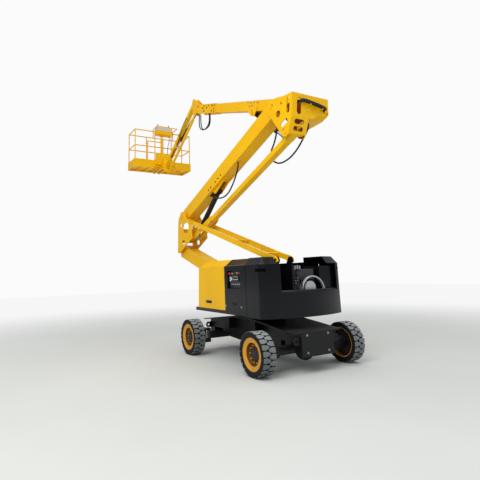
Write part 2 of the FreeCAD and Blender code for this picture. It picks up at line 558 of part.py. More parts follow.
def jib_arm():
    p, q = JIB_TOP, JIB_FOOT
    length = math.dist(p, q)
    body = beam(p, q, [(-40, -30), (0, -46), (length, -46), (length + 40, -20), (length + 40, 20), (length, 46),
                       (0, 46), (-40, 30)], BOOM_Y - 50, BOOM_Y + 50)
    body = body.cut(beam(p, q, [(60, -40), (length - 60, -40), (length - 60, 40), (60, 40)], BOOM_Y - 44, BOOM_Y + 44))
    body = body.cut(beam(p, q, [(1150, -60), (1950, -60), (1950, -30), (1150, -30)], BOOM_Y - 38, BOOM_Y + 38))
    bosses = [pin(p, BOOM_Y - 55.7, BOOM_Y + 55.7, 46), pin(q, BOOM_Y - 89.7, BOOM_Y + 89.7, 46)]
    lug = JIB_CYL[1]
    at = math.dist(p, lug)
    ears = [beam(p, q, [(at - 110, -40), (at - 40, -112), (at + 30, -112), (at + 90, -40)], BOOM_Y + a, BOOM_Y + b)
            for a, b in ((38, 50), (-50, -38))]
    holes = Part.makeCompound([pin(p, -900, 900, PIN_R + FIT), pin(q, -900, 900, PIN_R + FIT)])
    return fuse([body] + bosses + ears + stubs(lug, BOOM_Y, 38, 60, 16)).cut(holes)


def jib_link():
    """One beam on the machine's left; it keeps clear of the lift cylinder, which crosses its line."""
    p, q = TIP_PIN, plus(JIB_FOOT, JIB_LINK)
    length = math.dist(p, q)
    plate = beam(p, q, [(-35, -25), (0, -38), (length, -38), (length + 35, -25), (length + 35, 25), (length, 38),
                        (0, 38), (-35, 25)], BOOM_Y + 72, BOOM_Y + 86)
    body = beam(p, q, [(420, -34), (length - 110, -34), (length - 110, 34), (420, 34)], BOOM_Y + 44, BOOM_Y + 86)
    holes = Part.makeCompound([pin(p, -900, 900, PIN_R + FIT), pin(q, -900, 900, PIN_R + FIT)])
    return fuse([plate, body, pin(q, BOOM_Y + 72, BOOM_Y + 89.7, 44)]).cut(holes)


def jib_end():
    q, r = JIB_FOOT, plus(JIB_FOOT, JIB_LINK)
    deck_z = 4745
    outline = [(r[0] - 50, r[1] - 20), (r[0], r[1] - 50), (q[0] + 40, 4580), (4700, 4640), (4700, deck_z),
               (q[0] + 50, deck_z), (q[0] - 20, q[1] + 55), (q[0] - 60, q[1] + 20), (r[0] - 40, r[1] + 40)]
    plates = [side_plate(outline, BOOM_Y + a, BOOM_Y + b) for a, b in ((90, 104), (-104, -90))]
    deck = box(4605, 4700, BOOM_Y - 104, BOOM_Y + 104, deck_z - 20, deck_z)
    front = box(4685, 4700, BOOM_Y - 104, BOOM_Y + 104, 4645, deck_z)
    pins = [pin(q, BOOM_Y - 115, BOOM_Y + 115), pin(r, BOOM_Y - 115, BOOM_Y + 115)]
    post = Part.makeCylinder(40, 215, V(TURN_X, BOOM_Y, deck_z - 5))
    return fuse(plates + pins + [deck, front, post])


def flared(low_hw, high_hw, z0, z1, x0, x1):
    """A block that narrows upwards in a hollow curve, symmetrical about the boom's plane."""
    def edge(side):
        ends = [V(x0, BOOM_Y + side * low_hw, z0), V(x0, BOOM_Y + side * high_hw, z1)]
        mid = V(x0, BOOM_Y + side * (high_hw + (low_hw - high_hw) * 0.22), z0 + (z1 - z0) * 0.42)
        return ends, Part.Arc(ends[0], mid, ends[1]).toShape()
    (left, left_arc), (right, right_arc) = edge(1), edge(-1)
    wire = Part.Wire([left_arc, Part.makeLine(left[1], right[1]), right_arc, Part.makeLine(right[0], left[0])])
    return Part.Face(wire).extrude(V(x1 - x0, 0, 0))


def rotator():
    near = BASKET_X - BASKET_D / 2
    drum = Part.makeCylinder(72, 190, V(TURN_X, BOOM_Y, 4745 + GAP))
    low = flared(330, 300, 4690, 4760, near - 42, near - GAP)
    high = flared(300, 255, 4755, 5095, TURN_X + 60, near - GAP)
    high = high.cut(flared(286, 241, 4767, 5083, TURN_X + 72, near - 60))
    struts = [box(near - 22, BASKET_X + 290, BOOM_Y + y - 22, BOOM_Y + y + 22, BASKET_Z - 36, BASKET_Z - GAP)
              for y in (-75, 75)]
    feet = [box(near - 22, near - 10, BOOM_Y + y - 22, BOOM_Y + y + 22, BASKET_Z - 36, 4700) for y in (-75, 75)]
    clear = Part.makeCylinder(40 + FIT, 400, V(TURN_X, BOOM_Y, 4700))
    return fuse([drum, low, high] + struts + feet).cut(clear)


def basket_floor():
    x0, x1 = BASKET_X - BASKET_D / 2, BASKET_X + BASKET_D / 2
    y0, y1 = BOOM_Y - BASKET_L / 2, BOOM_Y + BASKET_L / 2
    floor = box(x0, x1, y0, y1, BASKET_Z + 62, BASKET_Z + 68)
    rim = box(x0, x1, y0, y1, BASKET_Z, BASKET_Z + 64).cut(box(x0 + 5, x1 - 5, y0 + 5, y1 - 5, 0, 9000))
    toe = box(x0, x1, y0, y1, BASKET_Z + 60, BASKET_Z + 240).cut(box(x0 + 5, x1 - 5, y0 + 5, y1 - 5, 0, 9000))
    ribs = [box(x0 + 4, x1 - 4, BOOM_Y + y - 15, BOOM_Y + y + 15, BASKET_Z + 12, BASKET_Z + 63)
            for y in (-640, -380, -130, 130, 380, 640)]
    return fuse([floor, rim, toe] + ribs)


def tube(points, r, closed=False):
    """A round tube with mitred corners."""
    ends = [V(*p) for p in points] + [V(*points[0])] * closed
    wire = Part.makePolygon(ends)
    profile = Part.Wire(Part.makeCircle(r, ends[0], ends[1] - ends[0]))
    return wire.makePipeShell([profile], True, False, 1)


def basket_rails():
    inset = TUBE_R + 5 + GAP
    x0, x1 = BASKET_X - BASKET_D / 2 + inset, BASKET_X + BASKET_D / 2 - inset
    y0, y1 = BOOM_Y - BASKET_L / 2 + inset, BOOM_Y + BASKET_L / 2 - inset
    top, mid, foot = BASKET_Z + BASKET_H - TUBE_R, BASKET_Z + 660, BASKET_Z + 68 + GAP
    g0, g1 = GATE_Y
    posts = [(x0, y0), (x0, y1), (x1, y0), (x1, y1), (x1, g0), (x1, g1), (x0, BOOM_Y - 270), (x0, BOOM_Y + 270)]
    parts = [rod((x, y, foot), (x, y, top), POST_R) for x, y in posts]
    parts.append(tube([(x0, 0, top), (x0, y1, top), (x1, y1, top), (x1, y0, top), (x0, y0, top)], TUBE_R, True))
    parts.append(tube([(x1, g1, mid), (x1, y1, mid), (x0, y1, mid), (x0, y0, mid), (x1, y0, mid), (x1, g0, mid)], TUBE_R))
    # The guard around the console stands out from the near side
    a, b, z = BOOM_Y - GUARD_Y - 25, BOOM_Y + GUARD_Y + 25, top + 60
    parts.append(tube([(x0, b - 55, top - 240), (x0, b, top - 200), (x0, b, z), (x0 - GUARD_OUT, b, z),
                       (x0 - GUARD_OUT, a, z), (x0, a, z), (x0, a, top - 200), (x0, a + 55, top - 240)], POST_R - 1))
    return fuse(parts)


def basket_gate():
    x1 = BASKET_X + BASKET_D / 2 - TUBE_R - 5 - GAP
    y0, y1 = GATE_Y[0] + 2 * TUBE_R + 5, GATE_Y[1] - 2 * TUBE_R - 8
    z0, z1 = BASKET_Z + 290, BASKET_Z + 1035
    parts = [rod((x1, y, z0), (x1, y, z1), TUBE_R) for y in (y0, y1)]
    parts += [rod((x1, y0, z), (x1, y1, z), TUBE_R) for z in (z0, 0.5 * (z0 + z1), z1)]
    for z in (z0 + 80, z1 - 120):
        parts.append(Part.makeCylinder(23, 40, V(x1, GATE_Y[1], z)))
        parts.append(box(x1 - 6, x1 + 6, y1, GATE_Y[1] - 18, z, z + 40))
    return fuse(parts).cut(Part.makeCylinder(POST_R + FIT, 2000, V(x1, GATE_Y[1], BASKET_Z)))


def hose(points, r=HOSE_R):
    """Straight runs joined by tangent arcs, as wide as the shorter run allows; prints the tightest."""
    pts, edges, radii = [V(*p) for p in points], [], []
    start = pts[0]
    for before, corner, after in zip(pts, pts[1:], pts[2:]):
        cut = 0.45 * min((before - corner).Length, (after - corner).Length)
        a, b = (before - corner).normalize(), (after - corner).normalize()
        half = a.getAngle(b) / 2
        bend = cut * math.tan(half)
        radii.append(bend)
        p, q = corner + a * cut, corner + b * cut
        mid = corner + (a + b).normalize() * (bend / math.sin(half) - bend)
        edges += [Part.makeLine(start, p), Part.Arc(p, mid, q).toShape()]
        start = q
    edges.append(Part.makeLine(start, pts[-1]))
    print("tightest arc", round(min(radii) / (2 * HOSE_R), 1), "diameters")
    profile = Part.Wire(Part.makeCircle(r, pts[0], pts[1] - pts[0]))
    return Part.Wire(edges).makePipeShell([profile], True, False)


def head_hoses(spare=0.0):
    """Three hoses that come out of one slot of the head and cross its rear face to the other."""
    shapes = []
    for k in (-1, 0, 1):
        z = k * (2 * HOSE_R + GAP)
        shapes.append(hose([(-1700, 425, 4110 + z), (-1900, 425, 4110 + z), (-1905, 220, 4092 + z), (-1905, 60, 4068 + z),
                            (-1900, -104, 4045 + z), (-1730, -104, 4045 + z)], HOSE_R + spare))
    return Part.makeCompound(shapes)


def console_hose():
    near = BASKET_X - BASKET_D / 2
    return hose([(near - 100, -180, BASKET_Z + 1005 - GAP), (near - 100, -180, BASKET_Z + 850), (near - 90, -130, BASKET_Z + 640),
                 (near - 90, -130, 5095 + GAP)])


def basket_console():
    near = BASKET_X - BASKET_D / 2
    z, lid = BASKET_Z + 1005, BASKET_Z + 1275
    body = side_plate([(near - 206, z + 12), (near - 160, z), (near, z), (near, lid - 80),
                       (near - 170, lid), (near - 206, lid - 22)], *CONSOLE_Y)
    legs = [rod((near - 66, y, 5095 + GAP), (near - 66, y, z + 10), r) for y, r in ((70, 20), (10, 14))]
    return fuse([body] + legs)


def build():
    nodes = {}
    tread, rim = tyre(), wheel_rim()
    for name, x, side in WHEELS:
        nodes[name + "_tyre"] = placed(tread, x, side * TRACK / 2, side)
        nodes[name + "_rim"] = placed(rim, x, side * TRACK / 2, side)
    nodes["chassis_frame"] = chassis()
    nodes["tie_down_plates"] = tie_downs()
    nodes["slew_ring"] = slew_ring()
    nodes["rear_axle"] = rear_axle()
    nodes["front_axle"] = front_axle()
    left = knuckle()
    nodes["left_knuckle"] = left
    nodes["right_knuckle"] = mirrored(left)
    nodes["turntable_frame"] = turntable()
    nodes["left_hood"] = hood(1, 30, HOOD_FRONT, 600, ROOF_TOP, HOOD_LEAN)
    nodes["right_hood"] = hood(-1, 30, HOOD_FRONT, 420, 1660, HOOD_LEAN)
    nodes["right_cabinet"] = hood(-1, -720, 20, 420, 1660)
    nodes["control_cabinet"] = control_cabinet()
    nodes["rear_cover"] = rear_cover()
    nodes["engine"] = engine()
    nodes["silencer"] = silencer()
    nodes["hydraulic_tank"] = hydraulic_tank()
    nodes["service_box"] = service_box()
    nodes["counterweight"] = counterweight()
    nodes["lower_riser_arm"] = lower_arm()
    nodes["lower_riser_link"] = lower_link()
    nodes["elbow"] = elbow()
    nodes["upper_riser_arm"] = upper_arm()
    nodes["upper_riser_link"] = upper_link()
    nodes["riser_head"] = head()
    nodes["main_boom"] = main_boom()
    nodes["fly_boom"] = fly_boom()
    nodes["tip_bracket"] = tip_bracket()
    nodes["jib_arm"] = jib_arm()
    nodes["jib_link"] = jib_link()
    nodes["jib_end_bracket"] = jib_end()
    nodes["platform_rotator"] = rotator()
    nodes["platform_floor"] = basket_floor()
    nodes["platform_rails"] = basket_rails()
    nodes["platform_gate"] = basket_gate()
    nodes["platform_console"] = basket_console()
    nodes["console_hose"] = console_hose()
    nodes["head_hoses"] = head_hoses()
    # Lift cylinders: pins, middle plane, barrel radius and length, eye radius and half-width, pin radius, home
    for name, (p, q), y, r, length, eye, w, pin_r, home in (
            ("lower_lift", LOWER_CYL, RISER_Y, 48, 760, 40, 49, 20, 100),
            ("riser_lift", UPPER_CYL, RISER_Y, 54, 1040, 44, 55, 22, 230),
            ("boom_lift", BOOM_CYL, BOOM_Y, 48, 850, 42, 51, 22, 250),
            ("jib_lift", JIB_CYL, BOOM_Y, 32, 1080, 30, 33, 18, 150)):
        barrel, stem = cylinder(p, q, y, r, length, eye, w, pin_r, home)
        nodes[name + "_barrel"], nodes[name + "_rod"] = barrel, stem
    return nodes


os.makedirs("parts", exist_ok=True)
for node, shape in build().items():
    shape.exportStep("parts/%s.step" % node)
    print(node, len(shape.Solids), shape.isValid(), round(shape.Volume / 1e6, 2))
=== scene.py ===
"""Articulating boom lift, its booms raised, on a pale studio floor.  Metres."""
import math

import bmesh
import bpy
from mathutils import Matrix, Vector


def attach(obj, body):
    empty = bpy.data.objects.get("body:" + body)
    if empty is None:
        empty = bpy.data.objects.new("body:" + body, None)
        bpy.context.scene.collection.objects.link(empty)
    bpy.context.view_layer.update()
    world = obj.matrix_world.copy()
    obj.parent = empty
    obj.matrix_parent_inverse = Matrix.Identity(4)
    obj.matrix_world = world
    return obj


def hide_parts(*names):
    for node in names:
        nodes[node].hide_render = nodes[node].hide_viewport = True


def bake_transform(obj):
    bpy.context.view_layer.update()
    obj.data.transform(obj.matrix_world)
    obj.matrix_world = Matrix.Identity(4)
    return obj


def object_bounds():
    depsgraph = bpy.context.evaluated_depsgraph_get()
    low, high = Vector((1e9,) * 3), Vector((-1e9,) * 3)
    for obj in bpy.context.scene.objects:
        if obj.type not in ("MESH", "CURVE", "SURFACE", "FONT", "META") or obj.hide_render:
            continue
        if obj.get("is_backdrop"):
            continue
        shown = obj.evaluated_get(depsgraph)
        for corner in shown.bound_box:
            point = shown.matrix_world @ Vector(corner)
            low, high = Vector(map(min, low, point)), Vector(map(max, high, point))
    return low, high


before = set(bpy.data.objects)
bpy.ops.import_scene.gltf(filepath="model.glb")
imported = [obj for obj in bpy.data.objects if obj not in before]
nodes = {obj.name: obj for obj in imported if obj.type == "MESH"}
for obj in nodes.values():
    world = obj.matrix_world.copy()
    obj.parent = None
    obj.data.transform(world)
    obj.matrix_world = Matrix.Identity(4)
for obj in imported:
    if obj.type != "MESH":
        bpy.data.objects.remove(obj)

cad_box = [list(corner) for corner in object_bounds()]
scene = bpy.context.scene
scene.view_settings.view_transform = "Standard"

# The camera stands low behind the machine's left rear wheel and looks forward and up.
# Its place, turn and lens were fitted to the wheels, the platform and the booms.
EYE = Vector((-6.370, 4.540, 1.528))
YAW, PITCH, ROLL = math.radians(-28.78), math.radians(11.13), math.radians(-1.66)
ahead = Vector((math.cos(YAW) * math.cos(PITCH), math.sin(YAW) * math.cos(PITCH), math.sin(PITCH)))
level = Vector((math.sin(YAW), -math.cos(YAW), 0))
upright = level.cross(ahead)
right = level * math.cos(ROLL) + upright * math.sin(ROLL)
up = -level * math.sin(ROLL) + upright * math.cos(ROLL)
camera = bpy.data.objects.new("camera", bpy.data.cameras.new("camera"))
camera.matrix_world = Matrix.Translation(EYE) @ Matrix((right, up, -ahead)).transposed().to_4x4()
camera.data.sensor_width = 36
camera.data.lens = 30.51
camera.data.shift_x, camera.data.shift_y = 0.0636, -0.0989
scene.collection.objects.link(camera)
scene.camera = camera


# The studio: a pale concrete-coloured floor under an overcast sky of soft light.
# The backdrop shows white to the camera and through glass, and lights the object at a plain level.
def linear(code):
    """A colour written as sRGB hex, turned to linear red, green, blue and alpha."""
    parts = [int(code[i:i + 2], 16) / 255 for i in (1, 3, 5)]
    return [c / 12.92 if c <= 0.04045 else ((c + 0.055) / 1.055) ** 2.4 for c in parts] + [1.0]


def add(tree, kind, sockets=None, **settings):
    """One node with its settings, and its sockets set to a value or linked."""
    node = tree.nodes.new(kind)
    for name, value in settings.items():
        setattr(node, name, value)
    for name, value in (sockets or {}).items():
        if isinstance(value, bpy.types.NodeSocket):
            tree.links.new(value, node.inputs[name])
        else:
            node.inputs[name].default_value = value
    return node


def new_material(name):
    """An empty material with its output: (material, tree, output node)."""
    made = bpy.data.materials.new(name)
    made.use_nodes = True
    made.node_tree.nodes.clear()
    return made, made.node_tree, made.node_tree.nodes.new("ShaderNodeOutputMaterial")


FLOOR_SIZE = 60
floor_mesh = bpy.data.meshes.new("floor")
half = FLOOR_SIZE / 2
floor_mesh.from_pydata([(-half, -half, 0), (half, -half, 0), (half, half, 0), (-half, half, 0)], [], [(0, 1, 2, 3)])
floor = bpy.data.objects.new("floor", floor_mesh)
scene.collection.objects.link(floor)
floor_paint, tree, out = new_material("pale studio floor")
place = add(tree, "ShaderNodeTexCoord").outputs["Object"]
stain = add(tree, "ShaderNodeTexNoise", {"Vector": place, "Scale": 0.5, "Detail": 4.0})
shade = add(tree, "ShaderNodeMix", {0: stain.outputs["Fac"], 6: linear("#C6C8C3"), 7: linear("#D2D3CE")}, data_type="RGBA")
matte = add(tree, "ShaderNodeBsdfPrincipled", {"Base Color": shade.outputs[2], "Roughness": 0.85})
# Far from the machine the floor fades into the white backdrop
reach = add(tree, "ShaderNodeVectorMath", {0: place}, operation="LENGTH")
fade = add(tree, "ShaderNodeMapRange", {"Value": reach.outputs["Value"], "From Min": 4.0, "From Max": 14.0},
           interpolation_type="SMOOTHSTEP")
pale = add(tree, "ShaderNodeEmission", {"Color": linear("#F6F6F6"), "Strength": 1.0})
ground = add(tree, "ShaderNodeMixShader", {0: fade.outputs[0], 1: matte.outputs[0], 2: pale.outputs[0]})
tree.links.new(ground.outputs[0], out.inputs["Surface"])
floor_mesh.materials.append(floor_paint)
floor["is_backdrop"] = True

sky = bpy.data.worlds.new("overcast")
sky.use_nodes = True
sky.node_tree.nodes.clear()
rays = add(sky.node_tree, "ShaderNodeLightPath")
seen = add(sky.node_tree, "ShaderNodeMath", {0: rays.outputs["Is Camera Ray"], 1: rays.outputs["Is Transmission Ray"]},
           operation="MAXIMUM")
light = add(sky.node_tree, "ShaderNodeBackground", {"Color": linear("#EEF3FA"), "Strength": 0.42})
white = add(sky.node_tree, "ShaderNodeBackground", {"Color": linear("#FBFBFC"), "Strength": 1.0})
both = add(sky.node_tree, "ShaderNodeMixShader", {0: seen.outputs[0], 1: light.outputs[0], 2: white.outputs[0]})
add(sky.node_tree, "ShaderNodeOutputWorld", {"Surface": both.outputs[0]})
scene.world = sky

# Name, kind, strength (watts, or watts a square metre for the sky's wide sun), size in metres or angle, place, aim
for name, kind, strength, size, place, at in (
        ("key", "AREA", 740, 7.0, (-5.0, 8.0, 9.0), (0.0, 0.0, 2.5)),
        ("fill", "AREA", 120, 8.0, (-9.0, -4.0, 6.0), (0.5, 0.0, 2.5)),
        ("zenith", "SUN", 1.4, math.radians(70), (0.0, 0.0, 12.0), (0.6, -0.8, 0.0))):
    lamp = bpy.data.lights.new(name, kind)
    lamp.energy = strength
    if kind == "AREA":
        lamp.size = size
    else:
        lamp.angle = size
    lamp_object = bpy.data.objects.new(name, lamp)
    lamp_object.location = place
    lamp_object.rotation_euler = (Vector(at) - Vector(place)).to_track_quat("-Z", "Y").to_euler()
    scene.collection.objects.link(lamp_object)


# Booms, risers, hood and platform: steel plate and tube in glossy yellow machine enamel.
# It was sprayed, so it has slow drifts of shade and a faint orange peel, with grey road film where it lies flat.
MM = 0.001


def enamel(name, colour, shade, roughness, film="#8C8676", film_share=0.25, peel=0.05, metal=0.0, gloss=0.5, grain=40,
           painted_shade_planes=()):
    """Sprayed enamel or unpainted metal: drifts of a second shade, fine roughness, and dust where it faces up.

    Where painted_shade_planes is set, points beyond all its planes (direction, distance) get painted shade, a dark
    red-brown like primer."""
    made, tree, out = new_material(name)
    place = add(tree, "ShaderNodeTexCoord").outputs["Object"]
    drift = add(tree, "ShaderNodeTexNoise", {"Vector": place, "Scale": 1 / (600 * MM), "Detail": 3.0})
    fine = add(tree, "ShaderNodeTexNoise", {"Vector": place, "Scale": 1 / (grain * MM), "Detail": 4.0})
    spread = add(tree, "ShaderNodeMapRange", {"Value": drift.outputs["Fac"], "From Min": 0.35, "From Max": 0.7})
    base = add(tree, "ShaderNodeMix", {0: spread.outputs[0], 6: linear(colour), 7: linear(shade)}, data_type="RGBA")
    facing = add(tree, "ShaderNodeSeparateXYZ", {0: add(tree, "ShaderNodeNewGeometry").outputs["Normal"]})
    lying = add(tree, "ShaderNodeMapRange", {"Value": facing.outputs["Z"], "From Min": 0.5, "From Max": 1.0,
                                             "To Max": film_share})
    patchy = add(tree, "ShaderNodeMath", {0: lying.outputs[0], 1: fine.outputs["Fac"]}, operation="MULTIPLY")
    dusty = add(tree, "ShaderNodeMix", {0: patchy.outputs[0], 6: base.outputs[2], 7: linear(film)}, data_type="RGBA")
    coat, painted_shade_mask = dusty.outputs[2], None
    for direction, distance in painted_shade_planes:
        along = add(tree, "ShaderNodeVectorMath", {0: place, 1: direction}, operation="DOT_PRODUCT")
        beyond = add(tree, "ShaderNodeMath", {0: along.outputs["Value"], 1: distance}, operation="GREATER_THAN").outputs[0]
        painted_shade_mask = add(tree, "ShaderNodeMath", {0: painted_shade_mask, 1: beyond}, operation="MULTIPLY").outputs[0] if painted_shade_mask else beyond
    # Beyond the planes the coat is painted shade, in a dark red-brown primer tone
    if painted_shade_planes:
        coat = add(tree, "ShaderNodeMix", {0: painted_shade_mask, 6: coat, 7: linear("#7A3210")}, data_type="RGBA").outputs[2]
    rough = add(tree, "ShaderNodeMapRange", {"Value": fine.outputs["Fac"], "To Min": roughness - 0.05,
                                             "To Max": roughness + 0.10})
    ripple = add(tree, "ShaderNodeTexNoise", {"Vector": place, "Scale": 1 / (9 * MM), "Detail": 1.0})
    bump = add(tree, "ShaderNodeBump", {"Height": ripple.outputs["Fac"], "Strength": peel, "Distance": 0.2 * MM})
    shader = add(tree, "ShaderNodeBsdfPrincipled", {"Base Color": coat, "Roughness": rough.outputs[0],
                                                    "Metallic": metal, "Specular IOR Level": gloss,
                                                    "Normal": bump.outputs[0]})
    tree.links.new(shader.outputs[0], out.inputs["Surface"])
    return made


def paint(node, *materials):
    """Gives a CAD node its finishes, in place of the ones it came with."""
    mesh = nodes[node].data
    mesh.materials.clear()
    for m in materials:
        mesh.materials.append(m)


yellow = enamel("yellow machine enamel", "#F4BC00", "#EEB200", 0.30, "#C9AE5A", 0.22, gloss=0.16)
for name in ("lower_riser_arm", "lower_riser_link", "elbow", "upper_riser_arm", "upper_riser_link", "riser_head",
             "main_boom", "fly_boom", "tip_bracket", "jib_arm", "jib_link", "jib_end_bracket", "platform_rotator",
             "platform_floor", "platform_rails", "platform_gate", "left_hood", "right_hood", "platform_console"):
    paint(name, yellow)

# The riser head is a welded box; through its slots its inside shows painted shade, in a dark red-brown primer tone.
yellow_with_painted_shade_inside = enamel("yellow enamel with painted shade inside", "#F4BC00", "#EEB200", 0.30, "#C9AE5A", 0.22, gloss=0.16, painted_shade_planes=(
    ((1, 0, 0.136), -1.276), ((1, 0, 0.3945), -0.279), ((0, 1, 0), 0.2245), ((0, -1, 0), -0.5455)))
paint("riser_head", yellow_with_painted_shade_inside)

# Turntable, covers and counterweight: folded steel plate in blue-black gloss enamel, which mirrors the pale sky.
gloss_black = enamel("black gloss enamel", "#090A0E", "#0C0D12", 0.16, "#8D8C88", 0.20, peel=0.012, gloss=0.22)
for name in ("turntable_frame", "right_cabinet", "control_cabinet", "rear_cover", "counterweight", "service_box"):
    paint(name, gloss_black)

# Chassis, axles and slewing ring: thick plate in satin black paint, dusty from the yard.
satin_black = enamel("black chassis paint", "#0D0D0F", "#121214", 0.42, "#6F6C66", 0.30, gloss=0.3)
for name in ("chassis_frame", "tie_down_plates", "rear_axle", "front_axle", "left_knuckle", "right_knuckle",
             "slew_ring", "engine"):
    paint(name, satin_black)
for name in ("lower", "riser", "boom", "jib"):
    paint(name + "_lift_barrel", satin_black)

# Cylinder rods: hard-chromed steel, ground round the rod.
chrome = enamel("hard chrome", "#C9CBCE", "#BFC1C5", 0.14, film_share=0.0, metal=1.0, peel=0.02, grain=3)
for name in ("lower", "riser", "boom", "jib"):
    paint(name + "_lift_rod", chrome)

# Engine housing and tank: cast aluminium and grey sheet, seen through the rear window.
aluminium = enamel("cast aluminium", "#C8CACB", "#B4B6B8", 0.38, "#8A8578", 0.3, metal=0.6, peel=0.3, grain=8)
tank_grey = enamel("grey tank paint", "#2E3136", "#26282C", 0.45, "#8F8A7E", 0.25)
paint("silencer", aluminium)
paint("hydraulic_tank", tank_grey)

# Hoses: woven black rubber covers, matt and slightly ribbed.
hose_rubber = enamel("black hose rubber", "#101113", "#17181A", 0.55, "#55524C", 0.3, peel=0.4, gloss=0.4, grain=6)
for name in ("head_hoses", "console_hose"):
    paint(name, hose_rubber)


# Wheels: black rubber carcass with two staggered rows of hexagonal blocks, their tops grey with dust,
# on a dished rim in gold enamel, its dish darkened with painted shade, with a black hub face.  The blocks and nuts are
# copies turned about the axle.
def turned_copies():
    """A node tree: copies of the incoming shape turned about Y through the origin, joined, in one material."""
    tree = bpy.data.node_groups.new("turned copies", "GeometryNodeTree")
    sockets = {}
    for label, kind in (("Geometry", "Geometry"), ("Count", "Int"), ("Start", "Float"), ("Material", "Material")):
        sockets[label] = tree.interface.new_socket(label, in_out="INPUT", socket_type="NodeSocket" + kind).identifier
    tree.interface.new_socket("Geometry", in_out="OUTPUT", socket_type="NodeSocketGeometry")
    source = tree.nodes.new("NodeGroupInput").outputs
    points = add(tree, "GeometryNodePoints", {"Count": source["Count"]})
    share = add(tree, "ShaderNodeMath", {0: add(tree, "GeometryNodeInputIndex").outputs[0], 1: source["Count"]},
                operation="DIVIDE")
    turn = add(tree, "ShaderNodeMath", {0: share.outputs[0], 1: 2 * math.pi, 2: source["Start"]}, operation="MULTIPLY_ADD")
    angle = add(tree, "ShaderNodeCombineXYZ", {"Y": turn.outputs[0]})
    copies = add(tree, "GeometryNodeInstanceOnPoints", {"Points": points.outputs[0], "Instance": source["Geometry"],
                                                        "Rotation": angle.outputs[0]})
    joined = add(tree, "GeometryNodeRealizeInstances", {"Geometry": copies.outputs[0]})
    coloured = add(tree, "GeometryNodeSetMaterial", {"Geometry": joined.outputs[0], "Material": source["Material"]})
    tree.links.new(coloured.outputs[0], tree.nodes.new("NodeGroupOutput").inputs[0])
    return tree, sockets


def baked(mesh, tree, values):
    """The mesh that a node tree makes of another, with its inputs set by identifier."""
    holder = bpy.data.objects.new("holder", mesh)
    scene.collection.objects.link(holder)
    modifier = holder.modifiers.new("nodes", "NODES")
    modifier.node_group = tree
    for identifier, value in values.items():
        modifier[identifier] = value
    made = bpy.data.meshes.new_from_object(holder.evaluated_get(bpy.context.evaluated_depsgraph_get()))
    bpy.data.objects.remove(holder)
    return made


def lathe(profile, closed=False, steps=96):
    """Turns (radius, y, material slot) points about Y; the stretch after a point has its slot."""
    bm = bmesh.new()
    rings = [[bm.verts.new((r * MM * math.cos(2 * math.pi * k / steps), y * MM, r * MM * math.sin(2 * math.pi * k / steps)))
              for k in range(steps)] for r, y, _ in profile]
    pairs = list(zip(rings, rings[1:] + rings[:1], profile))
    for first, second, (_, _, slot) in pairs if closed else pairs[:-1]:
        for k in range(steps):
            j = (k + 1) % steps
            bm.faces.new((first[k], first[j], second[j], second[k])).material_index = slot
    if not closed:
        bm.faces.new(rings[0]).material_index = profile[0][2]
        bm.faces.new(rings[-1]).material_index = profile[-1][2]
    bmesh.ops.recalc_face_normals(bm, faces=bm.faces)
    return bm


def to_mesh(bm, name, materials, angle=35):
    """Ends a bmesh as a mesh that is smooth but for edges sharper than the angle."""
    mesh = bpy.data.meshes.new(name)
    bm.to_mesh(mesh)
    bm.free()
    for m in materials:
        mesh.materials.append(m)
    mesh.polygons.foreach_set("use_smooth", [True] * len(mesh.polygons))
    mesh.set_sharp_from_angle(angle=math.radians(angle))
    return mesh


def piece(name, body, mesh):
    """An object at the origin that rides on a body, or that is still free where body is None."""
    made = bpy.data.objects.new(name, mesh)
    scene.collection.objects.link(made)
    if body:
        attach(made, body)
    return made


rubber = enamel("tyre rubber", "#0F0F10", "#151516", 0.62, "#77746C", 0.35, peel=0.3, gloss=0.25, grain=12)
worn = enamel("dusty tyre tread", "#74797A", "#5A5F60", 0.80, "#B9BCBA", 0.8, peel=0.5, gloss=0.2, grain=14)
rim_gold = enamel("rim enamel", "#D69A30", "#C28624", 0.34, "#7C6A4A", 0.3, gloss=0.3)
# The dish is the rim's gold enamel painted darker: painted shade
rim_painted_shade = enamel("rim enamel with painted shade in the dish", "#6E4410", "#4E3010", 0.50, "#5C4A30", 0.3, gloss=0.2)
hub_black = enamel("hub casting", "#151416", "#1D1B1B", 0.5, "#5A564E", 0.3, peel=0.3, grain=10)
zinc = enamel("zinc-plated steel", "#B9BBBD", "#A2A4A8", 0.32, "#8C887C", 0.2, metal=0.9, grain=5)

TYRE_R, HALF, BLOCKS = 322, 117, 22
CARCASS = [(238, -100, 0), (247, -111, 0), (258, -113, 0), (262, -116, 0), (268, -116, 0), (272, -114, 0),
           (288, -115, 0), (299, -104, 0), (301, -40, 0), (301, 40, 0), (299, 104, 0), (288, 115, 0), (272, 114, 0),
           (268, 116, 0), (262, 116, 0), (258, 113, 0), (247, 111, 0), (238, 100, 0)]
# A block seen from outside the tread: (along it, across it)
BLOCK = [(-35, 113), (35, 113), (40, 58), (15, -6), (-15, -6), (-40, 58)]


def tread_block(side):
    """One block: a crowned top with a chamfer round it, and at its outer end a buttress down the shoulder."""
    bm = bmesh.new()

    def ring(r, shrink, skirt=0):
        made = []
        for t, y in BLOCK:
            outer = y > 100
            radius, turn = (r - skirt if outer else r), t * shrink / TYRE_R
            across = side * (y - (3 if shrink < 1 else 0) + (2 if outer and skirt else 0))
            made.append(bm.verts.new((radius * MM * math.sin(turn), across * MM, radius * MM * math.cos(turn))))
        return made
    top, brow, foot = ring(TYRE_R, 0.93), ring(TYRE_R - 4, 1.0), ring(298, 1.03, 10)
    crown = bm.verts.new((0, side * 55 * MM, (TYRE_R + 0.8) * MM))
    for k in range(6):
        j = (k + 1) % 6
        bm.faces.new((top[k], top[j], crown)).material_index = 1
        bm.faces.new((brow[k], brow[j], top[j], top[k])).material_index = 1
        bm.faces.new((foot[k], foot[j], brow[j], brow[k]))
    bm.faces.new(foot)
    bmesh.ops.recalc_face_normals(bm, faces=bm.faces)
    return bm


